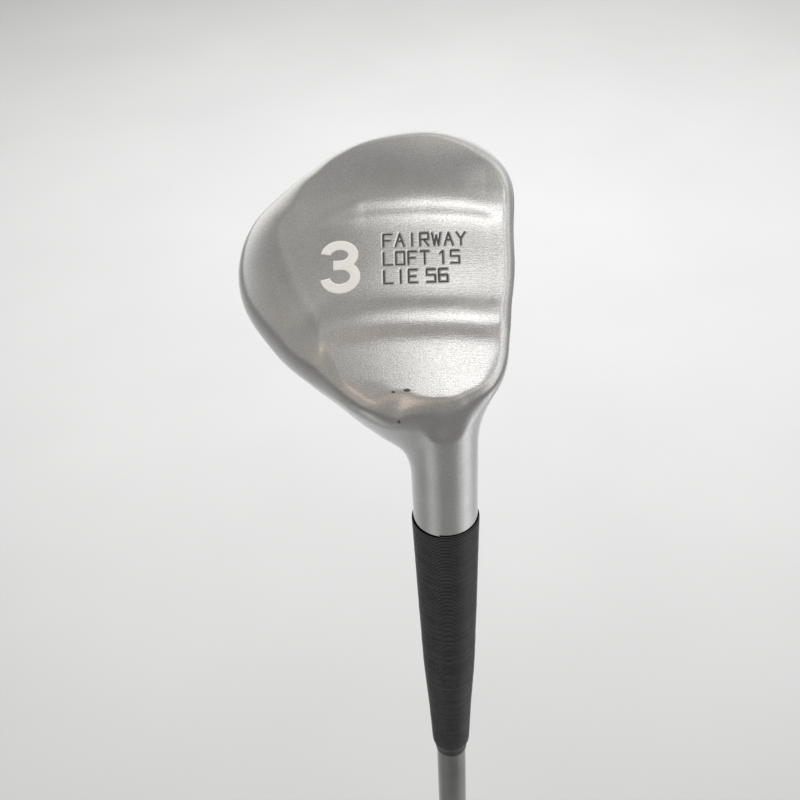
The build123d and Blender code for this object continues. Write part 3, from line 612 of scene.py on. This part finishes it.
# ---------------------------------------------------------------------- materials
class Mat:
    """Small helper to wire shader nodes."""

    def __init__(self, name):
        self.m = bpy.data.materials.new(name)
        self.m.use_nodes = True
        self.t = self.m.node_tree
        self.t.nodes.clear()
        self.out = self.t.nodes.new("ShaderNodeOutputMaterial")
        self.b = self.t.nodes.new("ShaderNodeBsdfPrincipled")
        self.t.links.new(self.b.outputs[0], self.out.inputs[0])

    def n(self, kind, **props):
        nd = self.t.nodes.new(kind)
        for k, v in props.items():
            setattr(nd, k, v)
        return nd

    def put(self, sock, v):
        if hasattr(v, "is_linked") or isinstance(v, bpy.types.NodeSocket):
            self.t.links.new(v, sock)
        else:
            sock.default_value = v
        return sock

    def math(self, op, a, b=0.0, c=None, clamp=False):
        nd = self.n("ShaderNodeMath", operation=op, use_clamp=clamp)
        self.put(nd.inputs[0], a); self.put(nd.inputs[1], b)
        if c is not None:
            self.put(nd.inputs[2], c)
        return nd.outputs[0]

    def coords(self, scale=(1, 1, 1), rot=(0, 0, 0)):
        tc = self.n("ShaderNodeTexCoord")
        mp = self.n("ShaderNodeMapping")
        self.t.links.new(tc.outputs["Object"], mp.inputs[0])
        mp.inputs["Scale"].default_value = scale
        mp.inputs["Rotation"].default_value = rot
        return mp.outputs[0]

    def noise(self, vec, scale, detail=3.0, rough=0.55, dist=0.0):
        nd = self.n("ShaderNodeTexNoise")
        self.t.links.new(vec, nd.inputs["Vector"])
        nd.inputs["Scale"].default_value = scale
        nd.inputs["Detail"].default_value = detail
        nd.inputs["Roughness"].default_value = rough
        nd.inputs["Distortion"].default_value = dist
        return nd.outputs["Fac"]

    def attr(self, name):
        return self.n("ShaderNodeAttribute", attribute_name=name).outputs["Fac"]

    def ramp(self, fac, *stops):
        nd = self.n("ShaderNodeValToRGB")
        self.t.links.new(fac, nd.inputs[0])
        e = nd.color_ramp.elements
        while len(e) < len(stops):
            e.new(0.5)
        for el, (p, c) in zip(e, stops):
            el.position = p
            el.color = c if len(c) == 4 else (*c, 1)
        return nd.outputs[0]

    def range(self, v, a, b, c, d, smooth=False):
        nd = self.n("ShaderNodeMapRange")
        if smooth:
            nd.interpolation_type = "SMOOTHSTEP"
        self.put(nd.inputs[0], v)
        for i, q in enumerate((a, b, c, d)):
            nd.inputs[i + 1].default_value = q
        return nd.outputs[0]

    def mix(self, fac, a, b):
        nd = self.n("ShaderNodeMix", data_type="RGBA")
        self.put(nd.inputs[0], fac)
        for s, v in ((nd.inputs[6], a), (nd.inputs[7], b)):
            if isinstance(v, tuple):
                s.default_value = (*v, 1) if len(v) == 3 else v
            else:
                self.t.links.new(v, s)
        return nd.outputs[2]

    def bump(self, h, strength, distance, prev=None):
        nd = self.n("ShaderNodeBump")
        self.put(nd.inputs["Strength"], strength)
        nd.inputs["Distance"].default_value = distance
        self.t.links.new(h, nd.inputs["Height"])
        if prev is not None:
            self.t.links.new(prev, nd.inputs["Normal"])
        return nd.outputs[0]

    def principled(self, **kw):
        for k, v in kw.items():
            s = self.b.inputs[k.replace("_", " ")]
            if isinstance(v, tuple):
                s.default_value = (*v, 1) if len(v) == 3 and s.type == "RGBA" else v
            else:
                self.put(s, v)


def steel():
    m = Mat("satin_steel")
    px, py, ph = m.attr("px"), m.attr("py"), m.attr("ph")
    comb = m.n("ShaderNodeCombineXYZ")
    m.put(comb.inputs[0], px); m.put(comb.inputs[1], py); m.put(comb.inputs[2], ph)
    P = comb.outputs[0]

    def mapped(scale):
        mp = m.n("ShaderNodeMapping")
        m.t.links.new(P, mp.inputs[0])
        mp.inputs["Scale"].default_value = scale
        return mp.outputs[0]

    brushed = m.noise(mapped((0.25, 5.0, 2.0)), 1.0, 4.0, 0.6)         # grain along x
    fine = m.noise(mapped((1, 1, 1)), 2.6, 4.0, 0.7)                  # cast speckle
    cloud = m.noise(mapped((1, 1, 1)), 0.09, 3.0, 0.5)
    smear = m.noise(mapped((0.5, 1.6, 1.0)), 0.30, 4.0, 0.6, 0.4)
    # scratches: thin ridges of a stretched noise
    scr = m.noise(mapped((0.10, 2.2, 1.0)), 1.6, 5.0, 0.7, 0.15)
    scr = m.range(m.math("ABSOLUTE", m.math("SUBTRACT", scr, 0.5)), 0.0, 0.010, 1.0, 0.0)
    heel = m.math("MULTIPLY", m.range(py, 6.0, 2.0, 0.0, 1.0, True), m.range(ph, 8.0, 5.0, 0.0, 1.0, True))
    scr = m.math("MULTIPLY", scr, m.math("ADD", 0.18, m.math("MULTIPLY", heel, 0.5)))
    sole_mask = m.range(ph, 9.0, 5.0, 0.0, 1.0, True)
    rough = m.math("ADD", 0.105, m.math("MULTIPLY", fine, 0.06))
    rough = m.math("ADD", rough, m.math("MULTIPLY", m.math("SUBTRACT", smear, 0.5), 0.08))
    rough = m.math("ADD", rough, m.math("MULTIPLY", scr, 0.18))
    base = m.ramp(cloud, (0.30, (0.575, 0.576, 0.578)), (0.72, (0.645, 0.647, 0.650)))
    base = m.mix(m.math("MULTIPLY", m.range(fine, 0.42, 0.60, 0.0, 1.0), 0.34), base, (0.36, 0.36, 0.36))
    # dark nicks at fixed places on the heel side
    nick = None
    for (nx, ny, nh, r, st) in NICKS:
        c = m.n("ShaderNodeVectorMath", operation="SUBTRACT")
        m.t.links.new(P, c.inputs[0]); c.inputs[1].default_value = (nx, ny, nh)
        s = m.n("ShaderNodeVectorMath", operation="MULTIPLY")
        m.t.links.new(c.outputs[0], s.inputs[0]); s.inputs[1].default_value = (1.0 / st, 1.0, 0.6)
        ln = m.n("ShaderNodeVectorMath", operation="LENGTH")
        m.t.links.new(s.outputs[0], ln.inputs[0])
        d = m.math("ADD", ln.outputs["Value"], m.math("MULTIPLY", m.math("SUBTRACT", fine, 0.5), r * 1.4))
        k = m.range(d, r * 0.75, r * 1.1, 1.0, 0.0)
        nick = k if nick is None else m.math("MAXIMUM", nick, k)
    ink = m.attr("ink")
    dark = m.math("MAXIMUM", m.math("MULTIPLY", m.range(ink, 0.35, 0.75, 0.0, 1.0), 0.93), m.math("MULTIPLY", nick, 0.9), clamp=True)
    base = m.mix(dark, base, (0.035, 0.033, 0.032))
    m.principled(Base_Color=base)
    m.principled(Metallic=m.math("SUBTRACT", 1.0, m.math("MULTIPLY", dark, 0.9)))
    m.principled(Roughness=m.math("MAXIMUM", rough, m.math("MULTIPLY", dark, 0.6), clamp=True))
    n1 = m.bump(brushed, m.math("MULTIPLY", sole_mask, 0.10), 0.0002)
    n2 = m.bump(fine, 0.13, 0.0002, n1)
    n3 = m.bump(scr, -0.25, 0.00006, n2)
    n4 = m.bump(nick, -0.6, 0.0002, n3)
    m.principled(Normal=n4)
    return m.m


NICKS = [(-11.8, -7.4, 3.8, 0.34, 1.8), (-8.5, -7.1, 3.5, 0.42, 2.2), (-10.7, -13.8, 7.3, 0.42, 1.0), (-16.0, -12.7, 7.2, 0.18, 1.0)]


def simple(name, c0, c1, scale, rough, metallic=0.0, bump=0.2, dist=0.0001, stretch=(1, 1, 1), r_var=0.12, **kw):
    m = Mat(name)
    v = m.coords(stretch)
    a = m.noise(v, scale, 4.0, 0.6)
    b = m.noise(v, scale * 0.11, 2.0, 0.5)
    f = m.math("ADD", m.math("MULTIPLY", a, 0.6), m.math("MULTIPLY", b, 0.4))
    m.principled(Base_Color=m.ramp(f, (0.35, c0), (0.65, c1)))
    m.principled(Roughness=m.math("ADD", rough - r_var / 2, m.math("MULTIPLY", a, r_var)))
    m.principled(Metallic=metallic)
    m.principled(Normal=m.bump(a, bump, dist))
    if kw:
        m.principled(**kw)
    return m.m


def thread_mat():
    m = Mat("waxed_thread")
    along, turn = m.attr("along"), m.attr("turn")
    c = m.n("ShaderNodeCombineXYZ")
    m.put(c.inputs[0], m.math("MULTIPLY", turn, 6.0)); m.put(c.inputs[1], m.math("MULTIPLY", along, 0.0))
    fib = m.noise(c.outputs[0], 2.6, 3.0, 0.6)
    v = m.coords()
    big = m.noise(v, 260.0, 3.0, 0.6)
    f = m.math("ADD", m.math("MULTIPLY", fib, 0.6), m.math("MULTIPLY", big, 0.4))
    # painted shade: the base colour is near black (0.0015) in the grooves between turns and lighter on the rib crests,
    # and the grooves get no specular
    top = m.range(m.attr("crest"), 0.70, 0.99, 0.0, 1.0, True)
    col = m.ramp(f, (0.34, (0.030, 0.032, 0.038)), (0.66, (0.075, 0.078, 0.088)))
    m.principled(Base_Color=m.mix(top, (0.0015, 0.0015, 0.0018), col))
    m.principled(Roughness=m.math("ADD", 0.16, m.math("MULTIPLY", fib, 0.10)))
    m.principled(Normal=m.bump(fib, 0.08, 0.00003))
    m.principled(Specular_IOR_Level=m.math("MULTIPLY", top, 1.0))
    return m.m


def chrome():
    m = Mat("plated_tube")
    v = m.coords((1, 1, 0.08))
    a = m.noise(v, 900.0, 3.0, 0.6)
    b = m.noise(m.coords(), 60.0, 3.0, 0.6)
    m.principled(Base_Color=m.ramp(b, (0.3, (0.20, 0.20, 0.20)), (0.7, (0.30, 0.30, 0.30))))
    m.principled(Metallic=1.0)
    m.principled(Roughness=m.math("ADD", 0.13, m.math("MULTIPLY", a, 0.08)))
    m.principled(Normal=m.bump(a, 0.05, 0.00004))
    return m.m


def paint():
    m = Mat("white_enamel")
    v = m.coords()
    a = m.noise(v, 1400.0, 4.0, 0.6)
    b = m.noise(v, 420.0, 4.0, 0.7, 0.6)
    worn = m.range(b, 0.68, 0.74, 0.0, 1.0)
    col = m.ramp(a, (0.3, (0.80, 0.79, 0.76)), (0.7, (0.88, 0.87, 0.85)))
    m.principled(Base_Color=m.mix(m.math("MULTIPLY", worn, 0.55), col, (0.55, 0.53, 0.50)))
    m.principled(Roughness=m.math("ADD", 0.42, m.math("MULTIPLY", a, 0.15)))
    m.principled(Normal=m.bump(a, 0.12, 0.00005))
    return m.m


def give(ob, mat):
    ob.data.materials.clear()
    ob.data.materials.append(mat)


give(head_ob, steel())
give(num, paint())
give(whip, thread_mat())
give(shaft, chrome())
give(grip, simple("moulded_rubber", (0.016, 0.016, 0.017), (0.040, 0.040, 0.041), 900.0, 0.62, bump=0.35, dist=0.00012))
give(cap, simple("hard_rubber", (0.014, 0.014, 0.015), (0.034, 0.034, 0.035), 700.0, 0.5, bump=0.25, dist=0.0001))
give(N["foam_core"], simple("cast_foam", (0.62, 0.55, 0.36), (0.80, 0.74, 0.55), 500.0, 0.85, bump=0.8, dist=0.0004))
give(N["hosel_plug"], simple("plug_rubber", (0.02, 0.02, 0.02), (0.06, 0.06, 0.06), 800.0, 0.7))
give(N["epoxy_bond"], simple("cured_epoxy", (0.40, 0.34, 0.20), (0.62, 0.55, 0.38), 300.0, 0.35))
give(N["tip_weight"], simple("lead_plug", (0.16, 0.16, 0.17), (0.30, 0.30, 0.32), 400.0, 0.5, metallic=0.9, bump=0.4))
give(N["tip_cork"], simple("cork", (0.30, 0.18, 0.09), (0.66, 0.46, 0.28), 900.0, 0.85, bump=0.7, dist=0.0003))
give(N["taper_cone"], simple("cone_plastic", (0.012, 0.012, 0.013), (0.028, 0.028, 0.030), 600.0, 0.4))
give(N["grip_tape"], simple("paper_tape", (0.62, 0.56, 0.44), (0.80, 0.75, 0.63), 700.0, 0.8, stretch=(1, 1, 0.2)))

# ------------------------------------------------------------- floor, light, camera
def stage_mat(name, c0, c1, scale=3.0):
    m = Mat(name)
    a = m.noise(m.coords(), scale, 3.0, 0.5)
    m.principled(Base_Color=m.ramp(a, (0.3, c0), (0.7, c1)))
    m.principled(Roughness=0.9)
    m.principled(Normal=m.bump(a, 0.05, 0.001))
    return m.m


def plane(name, w, d, loc, rot=(0, 0, 0)):
    V = np.array([(-w / 2, -d / 2, 0), (w / 2, -d / 2, 0), (w / 2, d / 2, 0), (-w / 2, d / 2, 0)]) * 1000
    ob = add_mesh(name, V, np.array([[0, 1, 2, 3]]), False)
    ob.location = loc
    ob.rotation_euler = rot
    return ob


floor = plane("floor", 7.8, 7.8, (0, 0, -0.0004))
give(floor, stage_mat("pale_floor", (0.335, 0.338, 0.342), (0.350, 0.353, 0.357)))


def area(name, loc, target, w, h, watts, color=(1, 1, 1), spread=180.0, glossy=False):
    li = bpy.data.lights.new(name, "AREA")
    li.shape = "RECTANGLE"
    li.size, li.size_y = w, h
    li.energy = watts
    li.color = color
    li.spread = math.radians(spread)
    ob = bpy.data.objects.new(name, li)
    bpy.context.scene.collection.objects.link(ob)
    d = Vector(target) - Vector(loc)
    ob.rotation_euler = d.to_track_quat("-Z", "Y").to_euler()
    ob.location = loc
    ob.visible_glossy = glossy
    return ob


area("floor_wash", (0.15, 1.9, 2.6), (0.15, 1.75, 0), 2.4, 2.0, 67, spread=112.0)
area("right_wash", (1.25, -0.25, 1.9), (1.25, -0.25, 0), 0.16, 0.6, 6, spread=50.0)
area("left_wash", (-0.85, -0.85, 1.9), (-0.85, -0.85, 0), 0.12, 0.2, 1.6, spread=40.0)

# soft studio surround: a dim room with broad glows, by direction (x, y, z, width in degrees, colour)
ROOM = (0.340, 0.340 * 0.99, 0.340 * 0.97)
GLOWS = [(-0.6546, -0.7484, 0.1071, 27.5, 0.231, 0.193, 0.130),
         (0.1897, -0.3892, 0.9014, 6.2, 0.709, 0.703, 0.756),
         (-0.3884, 0.0099, 0.9214, 6.2, 0.222, 0.215, 0.182),
         (-0.4235, -0.4726, 0.7729, 6.2, 0.090, 0.110, 0.133),
         (-0.5834, 0.7044, 0.4043, 17.3, 0.248, 0.235, 0.183),
         (0.6722, -0.3842, 0.6329, 10.9, 0.862, 0.879, 0.871),
         (0.3562, 0.0537, 0.9329, 6.2, 1.349, 1.326, 1.221),
         (0.0810, -0.3354, 0.9386, 6.2, 1.880, 1.827, 1.702),
         (-0.2875, -0.7901, 0.5414, 10.9, 0.577, 0.436, 0.342),
         (0.1205, 0.5779, 0.8071, 6.2, 0.640, 0.607, 0.487),
         (-0.3583, -0.3387, 0.8700, 6.2, 0.284, 0.267, 0.222),
         (0.4976, -0.1729, 0.8500, 6.2, 0.912, 0.916, 0.932),
         (0.8908, -0.4370, 0.1243, 17.3, 0.863, 0.839, 0.794),
         (-0.0829, 0.0409, 0.9957, 6.2, 0.176, 0.162, 0.115),
         (0.5481, 0.5082, 0.6643, 10.9, 0.755, 0.754, 0.720),
         (0.3555, -0.6744, 0.6471, 6.2, 0.689, 0.566, 0.437),
         (0.8461, 0.1106, 0.5214, 10.9, 0.547, 0.538, 0.517),
         (-0.7290, -0.3422, 0.5929, 6.2, 0.066, 0.085, 0.095),
         (0.0872, 0.9950, -0.0500, 30.0, 0.840, 0.840, 0.835),
         (-0.7500, 0.6500, -0.1200, 24.0, 0.450, 0.450, 0.448)]
world = bpy.data.worlds.new("studio")
bpy.context.scene.world = world
world.use_nodes = True
wt = world.node_tree
bg = wt.nodes["Background"]
tc = wt.nodes.new("ShaderNodeTexCoord")
total = None
for gx, gy, gz, width, cr, cg, cb in GLOWS:
    dot = wt.nodes.new("ShaderNodeVectorMath")
    dot.operation = "DOT_PRODUCT"
    wt.links.new(tc.outputs["Generated"], dot.inputs[0])
    dot.inputs[1].default_value = (gx, gy, gz)
    k = 1.0 / math.radians(width) ** 2
    ma = wt.nodes.new("ShaderNodeMath")
    ma.operation = "MULTIPLY_ADD"
    wt.links.new(dot.outputs["Value"], ma.inputs[0])
    ma.inputs[1].default_value, ma.inputs[2].default_value = k, -k
    ex = wt.nodes.new("ShaderNodeMath")
    ex.operation = "EXPONENT"
    wt.links.new(ma.outputs[0], ex.inputs[0])
    sc = wt.nodes.new("ShaderNodeVectorMath")
    sc.operation = "SCALE"
    sc.inputs[0].default_value = (cr, cg, cb)
    wt.links.new(ex.outputs[0], sc.inputs["Scale"])
    ad = wt.nodes.new("ShaderNodeVectorMath")
    ad.operation = "ADD"
    if total is None:
        ad.inputs[0].default_value = ROOM
    else:
        wt.links.new(total, ad.inputs[0])
    wt.links.new(sc.outputs[0], ad.inputs[1])
    total = ad.outputs[0]
wt.links.new(total, bg.inputs[0])
bg.inputs[1].default_value = 1.0

cam_data = bpy.data.cameras.new("camera")
cam_data.sensor_width = 36.0
cam_data.lens = 55.8
cam_data.clip_start = 0.01
cam_data.clip_end = 50.0
cam_ob = bpy.data.objects.new("camera", cam_data)
bpy.context.scene.collection.objects.link(cam_ob)
right = Vector((0.99917229, 0.0, -0.04067833))
up = Vector((0.03152345, 0.6320293, 0.77430306))
back = Vector((0.0257099, -0.77494449, 0.63150617))
mat = Matrix((right, up, back)).transposed().to_4x4()
mat.translation = Vector((-0.00264482, -0.2339989, 1.26368521))
cam_ob.matrix_world = mat
bpy.context.scene.camera = cam_ob
bpy.context.scene.view_settings.view_transform = "Standard"
